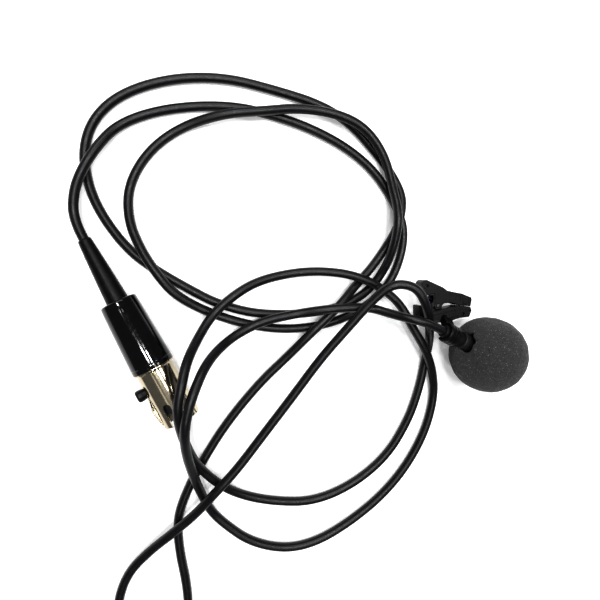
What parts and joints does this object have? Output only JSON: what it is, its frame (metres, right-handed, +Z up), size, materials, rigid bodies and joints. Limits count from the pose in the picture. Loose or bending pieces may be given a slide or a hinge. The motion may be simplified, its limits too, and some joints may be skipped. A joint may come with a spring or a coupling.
{
  "type": "lavalier microphone",
  "caption": "Clip-on lavalier microphone with a foam ball windscreen, alligator tie clip, long thin cable lying in loose loops, and a miniature latching plug.",
  "frame": {"origin": "bottom centre of the box around the head: foam ball, microphone and clip, without the cord", "axes": "+Z up from the surface it lies on; the clip's hinge is along Z; the plug lies towards -X"},
  "size_m": [0.1094, 0.1408, 0.019],
  "materials": {
    "foam": "open-cell foam, matt",
    "housing_metal": "satin black",
    "grille_metal": "satin black, perforated",
    "cloth": "matt",
    "gasket_rubber": "matt",
    "capsule_metal": "drawn can, satin",
    "board": "green laminate",
    "solder": "bright solder",
    "conductor": "coloured insulation",
    "brass": "turned",
    "sleeve_rubber": "matt",
    "clip_plastic": "satin black",
    "pin_steel": "plain",
    "spring_steel": "blued",
    "barrel_gloss": "gloss black",
    "boot_rubber": "satin",
    "nickel": "bright nickel plate",
    "insert_plastic": "moulded",
    "contact_gold": "gold plate",
    "button_plastic": "satin black",
    "cable_jacket": "satin"
  },
  "bodies": {
    "root": {"mic_housing": "housing_metal", "mic_grille": "grille_metal", "grille_cloth": "cloth", "capsule_gasket": "gasket_rubber", "electret_capsule": "capsule_metal", "capsule_board": "board", "solder_joints": "solder", "mic_wires": "conductor", "mic_crimp": "brass", "mic_sleeve": "sleeve_rubber", "clip_lower_lever": "clip_plastic", "clip_spring": "spring_steel", "plug_barrel": "barrel_gloss", "plug_boot": "boot_rubber", "cable_clamp": "brass", "plug_shell": "nickel", "plug_insert": "insert_plastic", "socket_contacts": "contact_gold", "plug_wires": "conductor", "latch_spring": "spring_steel", "cable": "cable_jacket"},
    "windscreen": {"foam_windscreen": "foam"},
    "clip_upper": {"clip_upper_lever": "clip_plastic", "clip_pin": "pin_steel"},
    "latch": {"latch_lever": "nickel", "latch_button": "button_plastic"}
  },
  "joints": [
    {"name": "windscreen_slide", "type": "slide", "parent": "root", "child": "windscreen", "axis": [0.8865, -0.4355, -0.1564], "range_m": [0, 0.014]},
    {"name": "clip_hinge", "type": "hinge", "parent": "root", "child": "clip_upper", "pos_m": [-0.0088, 0.0078, 0.0065], "axis": [0, 0, 1], "range_deg": [0, 28], "stiffness_Nm_per_rad": 0.004, "springref_deg": -17.19, "deforming": ["clip_spring"]},
    {"name": "latch_press", "type": "hinge", "parent": "root", "child": "latch", "pos_m": [-0.08136, -0.00498, 0.00561], "axis": [0.2127, 0.1536, 0.965], "range_deg": [0, 3.5], "stiffness_Nm_per_rad": 0.05, "springref_deg": -2.86, "deforming": ["latch_spring"]}
  ]
}
